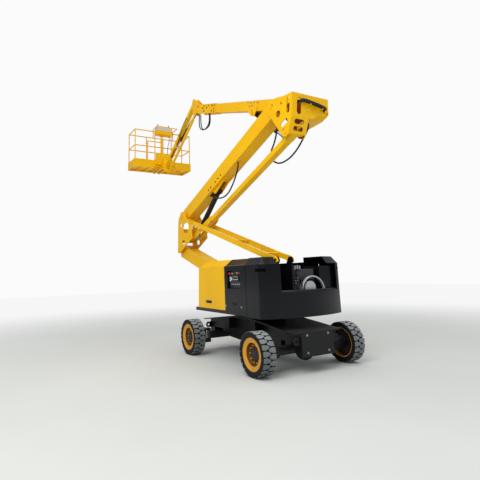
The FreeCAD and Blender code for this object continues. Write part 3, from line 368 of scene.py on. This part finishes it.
RIM = [(0, -20, 2), (226, -20, 0), (226, -100, 0), (238, -104, 0), (238, 104, 0), (234, 108, 0), (228, 108, 0),
       (222, 103, 0), (178, 92, 0), (170, 90, 0), (166, 84, 1), (163, 50, 1), (150, 30, 1), (104, 22, 2), (100, 46, 2),
       (84, 52, 2), (72, 60, 2), (40, 62, 2), (36, 68, 2), (0.5, 69, 2)]
turner, turner_sockets = turned_copies()
nut = bmesh.new()
bmesh.ops.create_cone(nut, cap_ends=True, segments=6, radius1=13 * MM, radius2=11.5 * MM, depth=22 * MM,
                      matrix=Matrix.Translation((124 * MM, 36 * MM, 0)) @ Matrix.Rotation(math.radians(-90), 4, "X"))
bmesh.ops.create_cone(nut, cap_ends=True, segments=12, radius1=6 * MM, radius2=5 * MM, depth=12 * MM,
                      matrix=Matrix.Translation((124 * MM, 50 * MM, 0)) @ Matrix.Rotation(math.radians(-90), 4, "X"))
nuts = baked(to_mesh(nut, "nut", [zinc]), turner, {turner_sockets["Count"]: 10, turner_sockets["Start"]: 0.0,
                                                   turner_sockets["Material"]: zinc})
blocks = []
for side, start in ((1, 0.0), (-1, math.pi / BLOCKS)):
    one = to_mesh(tread_block(side), "tread block", [rubber, worn], 20)
    blocks.append((one, start))
WHEELBASE, TRACK, WHEEL_R = 2160, 1806, 325
for corner, x, side in (("front_left", 1, 1), ("front_right", 1, -1), ("rear_left", -1, 1), ("rear_right", -1, -1)):
    place = Matrix.Translation((x * WHEELBASE / 2 * MM, side * TRACK / 2 * MM, WHEEL_R * MM)) @ Matrix.Diagonal((1, side, 1, 1))
    tyre = lathe(CARCASS, closed=True)
    for one, start in blocks:
        for k in range(BLOCKS):
            turned = one.copy()
            turned.transform(Matrix.Rotation(start + 2 * math.pi * k / BLOCKS, 4, "Y"))
            tyre.from_mesh(turned)
            bpy.data.meshes.remove(turned)
    rim = lathe(RIM)
    rim.from_mesh(nuts)
    for kind, bm, materials in (("tyre", tyre, [rubber, worn]), ("rim", rim, [rim_gold, rim_painted_shade, hub_black, zinc])):
        bmesh.ops.transform(bm, matrix=place, verts=bm.verts)
        if side < 0:
            bmesh.ops.reverse_faces(bm, faces=bm.faces)
        made = piece(corner + "_" + kind + "_detailed", corner + "_wheel", to_mesh(bm, corner + "_" + kind, materials))
        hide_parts(corner + "_" + kind)

# Pins: a collar and a keeper bar on each pin's end, held by a bolt; on the left and the right of each joint.
# Bolts are hexagon heads on washers, copied by nodes onto points that carry their direction and size.
def cube(bm, x0, x1, y0, y1, z0, z1, slot=0, bevel=0):
    """A block between its limits in mm, with its edges broken where bevel is set."""
    middle = Vector(((x0 + x1) / 2, (y0 + y1) / 2, (z0 + z1) / 2)) * MM
    made = bmesh.ops.create_cube(bm, size=MM, matrix=Matrix.Translation(middle) @ Matrix.Diagonal((x1 - x0, y1 - y0, z1 - z0, 1)))
    faces = {f for v in made["verts"] for f in v.link_faces}
    for f in faces:
        f.material_index = slot
    if bevel:
        edges = {e for v in made["verts"] for e in v.link_edges}
        bmesh.ops.bevel(bm, geom=list(edges), offset=bevel * MM, segments=2, affect="EDGES", profile=0.5)


def drum(bm, start, end, r, slot=0, sides=24, tip=None):
    """A cylinder or cone from one point to another in mm."""
    a, b = Vector(start) * MM, Vector(end) * MM
    turn = (b - a).to_track_quat("Z", "Y").to_matrix().to_4x4()
    made = bmesh.ops.create_cone(bm, cap_ends=True, segments=sides, radius1=r * MM, radius2=(r if tip is None else tip) * MM,
                                 depth=(b - a).length, matrix=Matrix.Translation((a + b) / 2) @ turn)
    for f in {f for v in made["verts"] for f in v.link_faces}:
        f.material_index = slot


def bolt_tree():
    """A node tree: a hexagon head on a washer at each point, along its "axis" and as wide as its "size"."""
    tree = bpy.data.node_groups.new("bolts on points", "GeometryNodeTree")
    tree.interface.new_socket("Geometry", in_out="INPUT", socket_type="NodeSocketGeometry")
    finish = tree.interface.new_socket("Material", in_out="INPUT", socket_type="NodeSocketMaterial").identifier
    tree.interface.new_socket("Geometry", in_out="OUTPUT", socket_type="NodeSocketGeometry")
    source = tree.nodes.new("NodeGroupInput").outputs
    parts = []
    for corners, radius, depth in ((6, 0.5, 0.7), (20, 0.68, 0.16)):
        can = add(tree, "GeometryNodeMeshCylinder", {"Vertices": corners, "Radius": radius, "Depth": depth})
        parts.append(add(tree, "GeometryNodeTransform", {"Geometry": can.outputs[0], "Translation": (0, 0, depth / 2)}))
    bolt = tree.nodes.new("GeometryNodeJoinGeometry")
    for part in parts:
        tree.links.new(part.outputs[0], bolt.inputs[0])
    axis = add(tree, "GeometryNodeInputNamedAttribute", {"Name": "axis"}, data_type="FLOAT_VECTOR")
    size = add(tree, "GeometryNodeInputNamedAttribute", {"Name": "size"}, data_type="FLOAT")
    facing = add(tree, "FunctionNodeAlignRotationToVector", {"Vector": axis.outputs[0]}, axis="Z")
    copies = add(tree, "GeometryNodeInstanceOnPoints", {"Points": source["Geometry"], "Instance": bolt.outputs[0],
                                                        "Rotation": facing.outputs[0], "Scale": size.outputs[0]})
    joined = add(tree, "GeometryNodeRealizeInstances", {"Geometry": copies.outputs[0]})
    coloured = add(tree, "GeometryNodeSetMaterial", {"Geometry": joined.outputs[0], "Material": source["Material"]})
    tree.links.new(coloured.outputs[0], tree.nodes.new("NodeGroupOutput").inputs[0])
    return tree, finish


bolts_on_points, bolt_finish = bolt_tree()


def bolted(name, body, places, material):
    """Bolts at (x, y, z, axis, width) in mm, as one piece on a body."""
    mesh = bpy.data.meshes.new("points")
    mesh.from_pydata([Vector(place[:3]) * MM for place in places], [], [])
    mesh.attributes.new("axis", "FLOAT_VECTOR", "POINT").data.foreach_set("vector", [c for p in places for c in p[3]])
    mesh.attributes.new("size", "FLOAT", "POINT").data.foreach_set("value", [p[4] * MM for p in places])
    made = baked(mesh, bolts_on_points, {bolt_finish: material})
    made.name = name
    if not made.materials:
        made.materials.append(material)
    return piece(name, body, made)


RISER_Y, BOOM_Y = 385, -30
# Body, pin (x, z), middle plane, distance of the face on each side, how far the keeper's bolt lies from the pin
PINS = [("elbow_frame", (2415, 2045), RISER_Y, 195, (-20, 66)), ("elbow_frame", (2190, 2852), RISER_Y, 195, (30, -64)),
        ("elbow_frame", (1798, 2649), RISER_Y, 195, (-30, 40)), ("elbow_frame", (1850, 2318), RISER_Y, 195, (-60, 30)),
        ("head", (-1306, 4190), RISER_Y, 175, (-62, 20)), ("head", (-1646, 3656), RISER_Y, 175, (30, 46)),
        ("turntable", (-573, 1086), RISER_Y, 144, (-50, 40)), ("fly", (2240, 5670), BOOM_Y, 104, (-60, -20)),
        ("tip", (2560, 5930), BOOM_Y, 66, (-20, -62)), ("jib_end", (4550, 4680), BOOM_Y, 104, (60, -20)),
        ("jib_end", (4230, 4420), BOOM_Y, 104, (50, 10)), ("boom", (-90, 4618), BOOM_Y, 92, (10, 56))]
keepers, keeper_bolts = {}, {}
for body, (x, z), middle, face, (dx, dz) in PINS:
    bm = keepers.setdefault(body, bmesh.new())
    for side in (1, -1):
        y = middle + side * face
        drum(bm, (x, y, z), (x, y + side * 6, z), 40)
        for step in (0.0, 0.5, 1.0):
            drum(bm, (x + dx * step, y, z + dz * step), (x + dx * step, y + side * 8, z + dz * step), 15)
        keeper_bolts.setdefault(body, []).append((x + dx, y + side * 8, z + dz, (0, side, 0), 18))
for body, bm in keepers.items():
    piece("keepers_of_" + body, body, to_mesh(bm, "keepers_of_" + body, [yellow]))
    bolted("keeper_bolts_of_" + body, body, keeper_bolts[body], zinc)

# Other bolts, where the photograph shows them: the boom's lug plates and collar, the fly boom's tip, the upper
# riser's underside brackets, the chassis end plates and the cabinet's lower edge.
BOOM_PIN, BOOM_TURN = (-1520, 4280), math.radians(19.3)


def on_boom(a, b):
    """The point (x, z) a mm along the boom from its pin and b mm above its middle line."""
    return (BOOM_PIN[0] + a * math.cos(BOOM_TURN) - b * math.sin(BOOM_TURN),
            BOOM_PIN[1] + a * math.sin(BOOM_TURN) + b * math.cos(BOOM_TURN))


boom_bolts, fly_bolts, arm_bolts = [], [], []
for side in (1, -1):
    for a, b in ((1340, 60), (1450, 66), (1560, 60), (1670, 66), (1500, 0), (1600, -10)):
        x, z = on_boom(a, b)
        boom_bolts.append((x, BOOM_Y + side * 92, z, (0, side, 0), 24))
    for a, b in ((3110, 70), (3110, -70)):
        x, z = on_boom(a, b)
        boom_bolts.append((x, BOOM_Y + side * 92, z, (0, side, 0), 20))
    for a, b in ((3230, 70), (3230, -60), (3420, 74), (3500, 20), (3640, 70), (3700, 10), (3620, -60)):
        x, z = on_boom(a, b)
        fly_bolts.append((x, BOOM_Y + side * 104, z, (0, side, 0), 24))
    for x, z in ((485, 3444), (590, 3395), (697, 3345), (900, 3270), (1000, 3232)):
        arm_bolts.append((x, RISER_Y + side * 125, z, (0, side, 0), 22))
bolted("boom_bolts", "boom", boom_bolts, zinc)
bolted("fly_bolts", "fly", fly_bolts, satin_black)
bolted("upper_riser_bolts", "upper_riser", arm_bolts, satin_black)
bolted("chassis_bolts", "chassis", [(end * 1410, y, z, (end, 0, 0), 26) for end in (1, -1)
                                    for y, z in ((217, 309), (-205, 309), (217, 560), (-205, 560))], zinc)
bolted("cabinet_bolts", "turntable", [(x, side * 776, 950, (0, side, 0), 26) for side in (1, -1) for x in (-5, -515, -700)],
       zinc)

# Covers: black paddle latches in their recesses, and round each rear corner a slot filled with painted shade.
plastic = enamel("black moulded plastic", "#0C0C0D", "#131314", 0.5, "#5A574F", 0.3, peel=0.4, gloss=0.4, grain=6)
for name, body, x, side, half in (("left_latch", "left_door", 625, 1, 108), ("right_latch", "right_door", 625, -1, 108),
                                  ("left_cabinet_latch", "turntable", -250, 1, 90),
                                  ("right_cabinet_latch", "turntable", -250, -1, 90)):
    bm = bmesh.new()
    y = side * 776
    cube(bm, x - half, x + half, *sorted((y, y + side * 3)), 966, 1014, 0, 2)
    cube(bm, x - half + 22, x + half - 22, *sorted((y + side * 2, y + side * 13)), 978, 998, 1, 3)
    for dx in (-half + 12, half - 12):
        drum(bm, (x + dx, y, 990), (x + dx, y + side * 6, 990), 8, 1)
    piece(name, body, to_mesh(bm, name, [plastic, satin_black]))
TAIL_MIDDLE, TAIL_R, CORNER, CORNER_X = 670, 2000, 100, -1084
slots = bmesh.new()
for side in (1, -1):
    path = [(-1015, 830), (CORNER_X, 830)]
    path += [(CORNER_X - CORNER * math.sin(math.radians(t)), 730 + CORNER * math.cos(math.radians(t))) for t in (20, 40, 60)]
    path += [(TAIL_MIDDLE - math.sqrt(TAIL_R ** 2 - y ** 2), y) for y in (765, 745)]
    for (x0, y0), (x1, y1) in zip(path, path[1:]):
        out_x, out_y = (y0 - y1) / math.dist((x0, y0), (x1, y1)), (x0 - x1) / math.dist((x0, y0), (x1, y1))
        low = [(x - out_x * 2, side * (y + out_y * 2)) for x, y in ((x0, y0), (x1, y1))]
        high = [(x - out_x * -1.5, side * (y - out_y * -1.5)) for x, y in ((x0, y0), (x1, y1))]
        verts = [slots.verts.new((x * MM, y * MM, z * MM)) for z in (1517, 1567) for x, y in (*low, *reversed(high))]
        for face in ((0, 1, 2, 3), (4, 5, 6, 7), (0, 1, 5, 4), (1, 2, 6, 5), (2, 3, 7, 6), (3, 0, 4, 7)):
            slots.faces.new([verts[i] for i in face])
bmesh.ops.recalc_face_normals(slots, faces=slots.faces)
# Near-black blocks in the slots: painted shade where the gap is
gap_painted_shade = enamel("unlit gap", "#030303", "#050505", 0.9, film_share=0.0, gloss=0.05)
piece("cover_slots", "turntable", to_mesh(slots, "cover_slots", [gap_painted_shade]))

# Plates that close the front of the two raised roofs
bm = bmesh.new()
for side, inner in ((1, 573), (-1, 423)):
    profile = [(inner, 1626), (inner, 1743), (732, 1743), (797, 1665), (828, 1630), (828, 1626)]
    rings = [[bm.verts.new((x * MM, side * y * MM, z * MM)) for y, z in profile] for x in (-730, -725)]
    for ring in rings:
        bm.faces.new(ring)
    for k in range(6):
        bm.faces.new((rings[0][k], rings[0][(k + 1) % 6], rings[1][(k + 1) % 6], rings[1][k]))
bmesh.ops.recalc_face_normals(bm, faces=bm.faces)
piece("roof_end_plates", "turntable", to_mesh(bm, "roof_end_plates", [gloss_black]))

# The cover's rolled front edges, and the bead between its walls and its roofs
bm = bmesh.new()
for side in (1, -1):
    drum(bm, (-730, side * 825, 812), (-730, side * 825, 1628), 11, 0, 20)
    drum(bm, (-730, side * 825, 1628), (-1080, side * 825, 1628), 9, 0, 20)
piece("cover_edges", "turntable", to_mesh(bm, "cover_edges", [gloss_black]))

# Ground controls behind the cabinet's window: a grey panel with an emergency button, a key, gauges and switches.
# All its faces are blank.
panel_grey = enamel("grey control panel", "#3C4046", "#34373C", 0.45, "#8A8780", 0.2)
signal_red = enamel("red button plastic", "#C4161C", "#A81218", 0.35, film_share=0.1, grain=6)
pale_plastic = enamel("pale switch plastic", "#D8D8D2", "#C6C6C0", 0.45, film_share=0.2, grain=6)
green_plastic = enamel("green button plastic", "#1F7A3A", "#18662F", 0.4, film_share=0.1, grain=6)
bm = bmesh.new()
cube(bm, -474, -86, 719, 724, 1251, 1541, 0, 1)
cube(bm, -400, -215, 724, 752, 1362, 1478, 1, 5)
for x in (-380, -340, -300, -260):
    drum(bm, (x, 752, 1440), (x, 766, 1446), 6, 3, 12, 4)
    drum(bm, (x, 752, 1398), (x, 760, 1398), 9, 3, 16)
drum(bm, (-120, 724, 1500), (-120, 744, 1500), 14, 1)
drum(bm, (-120, 744, 1500), (-120, 760, 1500), 26, 2)
cube(bm, -190, -160, 724, 736, 1486, 1516, 3, 3)
drum(bm, (-265, 724, 1508), (-265, 746, 1508), 12, 4)
cube(bm, -430, -350, 724, 740, 1492, 1524, 2, 4)
cube(bm, -345, -310, 724, 738, 1494, 1522, 3, 4)
for x, z in ((-115, 1430), (-115, 1385), (-150, 1408)):
    drum(bm, (x, 724, z), (x, 736, z), 19, 3)
for x in (-150, -210, -270, -330, -390, -440):
    drum(bm, (x, 724, 1315), (x, 738, 1320), 8, 3, 12, 5)
    drum(bm, (x, 724, 1280), (x, 732, 1280), 10, 1, 16)
piece("ground_controls", "turntable", to_mesh(bm, "ground_controls",
                                              [panel_grey, plastic, signal_red, pale_plastic, green_plastic]))

# Engine bay, seen through the rear window: a fan shroud behind the housing, a valve block with its coils and hoses.
shroud = lathe([(228, -22, 0), (246, -22, 0), (250, -14, 0), (250, 14, 0), (246, 22, 0), (228, 22, 0), (222, 10, 0),
                (222, -10, 0)], closed=True)
bmesh.ops.transform(shroud, verts=shroud.verts, matrix=Matrix.Translation((-1167 * MM, -195 * MM, 1186 * MM))
                    @ Matrix.Rotation(math.radians(90), 4, "Z"))
for r, x in ((60, -1184), (34, -1188)):
    drum(shroud, (x, -140, 1240), (x + 6, -140, 1240), r, 0, 40)
piece("fan_shroud", "turntable", to_mesh(shroud, "fan_shroud", [aluminium]))
bm = bmesh.new()
cube(bm, -1150, -1070, 95, 205, 1290, 1430, 0, 4)
cube(bm, -1130, -1090, 120, 180, 1430, 1520, 0, 4)
cube(bm, -1120, -1080, 130, 170, 869, 1290, 0)
for y, z, slot in ((110, 1600, 1), (60, 1606, 1), (10, 1600, 1), (150, 1560, 2)):
    drum(bm, (-1110, y, z - 60), (-1110, y, z), 17, slot, 20)
    drum(bm, (-1110, y, z - 78), (-1110, y, z - 60), 12, 0, 6)
cube(bm, -1125, -1095, -10, 190, 1510, 1526, 0, 2)
for z in (1320, 1360, 1400):
    for y in (95, 205):
        drum(bm, (-1140, y, z), (-1140, y + (14 if y > 150 else -14), z), 11, 1, 6)
    drum(bm, (-1150, 150, z), (-1168, 150, z), 11, 1, 6)
piece("valve_block", "turntable", to_mesh(bm, "valve_block", [plastic, zinc, tank_grey]))


def flexible(name, points, r, material):
    """A round hose that runs smoothly by way of its points, in mm: its mesh, and the line along its middle."""
    curve = bpy.data.curves.new(name, "CURVE")
    curve.dimensions = "3D"
    line = curve.splines.new("NURBS")
    line.points.add(len(points) - 1)
    for point, place in zip(line.points, points):
        point.co = (*(c * MM for c in place), 1)
    line.order_u, line.use_endpoint_u, line.resolution_u = 3, True, 10
    holder = bpy.data.objects.new("holder", curve)
    scene.collection.objects.link(holder)
    made = []
    for depth in (0, r * MM):
        curve.bevel_depth, curve.bevel_resolution, curve.use_fill_caps = depth, 4, True
        made.append(bpy.data.meshes.new_from_object(holder.evaluated_get(bpy.context.evaluated_depsgraph_get())))
    bpy.data.objects.remove(holder)
    path = [v.co.copy() for v in made[0].vertices]
    made[1].name = name
    made[1].materials.clear()
    made[1].materials.append(material)
    return made[1], path


def hose(name, body, points, r, across=None):
    """A hose that hangs on a body, or, where across is given, a free hose that stays where it lies; it goes back into
    the object.
    """
    mesh, path = flexible(name, points, r, hose_rubber)
    made = piece(name, None if across else body, mesh)
    if across:
        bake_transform(made)


# Two hoses rise from the base plate to the tank, and a pipe crosses from the valve block's end to its top
for k, points in enumerate((
        [(-1180, 40, 868), (-1180, 40, 1000), (-1190, 50, 1200), (-1185, 45, 1340), (-1150, 40, 1400), (-1088, 40, 1400)],
        [(-1195, 195, 868), (-1195, 195, 1000), (-1205, 170, 1200), (-1200, 110, 1380), (-1160, 60, 1450),
         (-1088, 30, 1450)])):
    hose("bay_hose_%d" % k, "turntable", points, 9)
piece("bay_pipe", "turntable", flexible("bay_pipe", [
    (-1168, 150, 1400), (-1200, 150, 1405), (-1215, 120, 1455), (-1170, 60, 1490), (-1130, 55, 1530),
    (-1112, 60, 1560)], 9, hose_rubber)[0])

# Hoses that hang in loops: from the riser's head to its upper arm, from the riser's lift cylinder to the arm,
# below the fly boom's tip and beside the jib.
hose("riser_head_hose", None, [
    (-1735, 190, 3850), (-1770, 185, 3800), (-1760, 190, 3720), (-1640, 200, 3590), (-1480, 210, 3440),
    (-1280, 225, 3335), (-1040, 245, 3310), (-870, 262, 3430), (-900, 290, 3570), (-1040, 325, 3650),
    (-1130, 335, 3780), (-1180, 340, 3920), (-1195, 340, 4010)], 14, ("head", "upper_riser", (-1.74, 0.19, 3.83), (-1.15, 0.30, 3.75)))
hose("riser_cylinder_hose", None, [
    (860, 436, 3110), (830, 485, 3080), (700, 503, 3010), (460, 506, 2965), (220, 506, 3010), (20, 500, 3190),
    (-110, 490, 3390), (-120, 470, 3500), (-70, 440, 3590)], 14,
     ("riser_barrel", "upper_riser", (0.80, 0.47, 3.05), (-0.07, 0.41, 3.55)))
for k, (y, end) in enumerate(((0, -22), (-40, -48))):
    hose("tip_hose_%d" % k, "fly", [
        (1800 + 30 * k, y, 5350), (1780 + 30 * k, y, 5220), (1830 + 25 * k, y, 5050), (2030, y, 4990 + 25 * k),
        (2240 - 20 * k, y, 5050), (2350 - 25 * k, y, 5220), (2350 - 25 * k, end, 5480)], 13)
hose("jib_hose", "jib", [
    (3000, 10, 5660), (3030, 50, 5600), (3180, 76, 5440), (3300, 80, 5290), (3350, 80, 5190), (3430, 72, 5230),
    (3490, 40, 5310), (3500, 10, 5335)], 9)

# A braided sleeve round the hoses where they cross the head's rear face
piece("head_hose_sleeve", "head", flexible("head_hose_sleeve", [
    (-1880, 400, 4112), (-1900, 380, 4112), (-1906, 300, 4104), (-1908, 160, 4086), (-1906, 20, 4062), (-1900, -60, 4048),
    (-1880, -84, 4045)], 31, hose_rubber)[0])

# Platform controls: a pale housing over the console's top, with two joysticks, a button and switches.
near, lid = 4806, 5943
housing = bmesh.new()
outline = [(near - 208, 5806), (near + 2, 5806), (near + 2, lid - 78), (near - 170, lid + 2), (near - 208, lid - 20)]
ends = [[housing.verts.new((x * MM, y * MM, z * MM)) for x, z in outline] for y in (-242, 252)]
housing.faces.new(ends[0])
housing.faces.new(ends[1])
for k in range(5):
    housing.faces.new((ends[0][k], ends[0][(k + 1) % 5], ends[1][(k + 1) % 5], ends[1][k]))
bmesh.ops.recalc_face_normals(housing, faces=housing.faces)
for y in (-170, 180):
    drum(housing, (near - 90, y, lid - 40), (near - 86, y, lid - 22), 34, 1)
    drum(housing, (near - 88, y, lid - 24), (near - 84, y, lid + 56), 9, 1)
    drum(housing, (near - 85, y, lid + 40), (near - 82, y, lid + 84), 17, 1, 20, 13)
drum(housing, (near - 90, 5, lid - 36), (near - 84, 5, lid - 10), 24, 2)
for y in (-100, -70, -40, 50, 80, 110):
    drum(housing, (near - 60, y, lid - 50), (near - 56, y, lid - 28), 6, 1, 12)
    drum(housing, (near - 130, y, lid - 20), (near - 128, y, lid - 8), 9, 1, 16)
piece("console_housing", "platform", to_mesh(housing, "console_housing", [pale_plastic, plastic, signal_red]))

size = {"cad": cad_box, "visual": [list(corner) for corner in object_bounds()]}
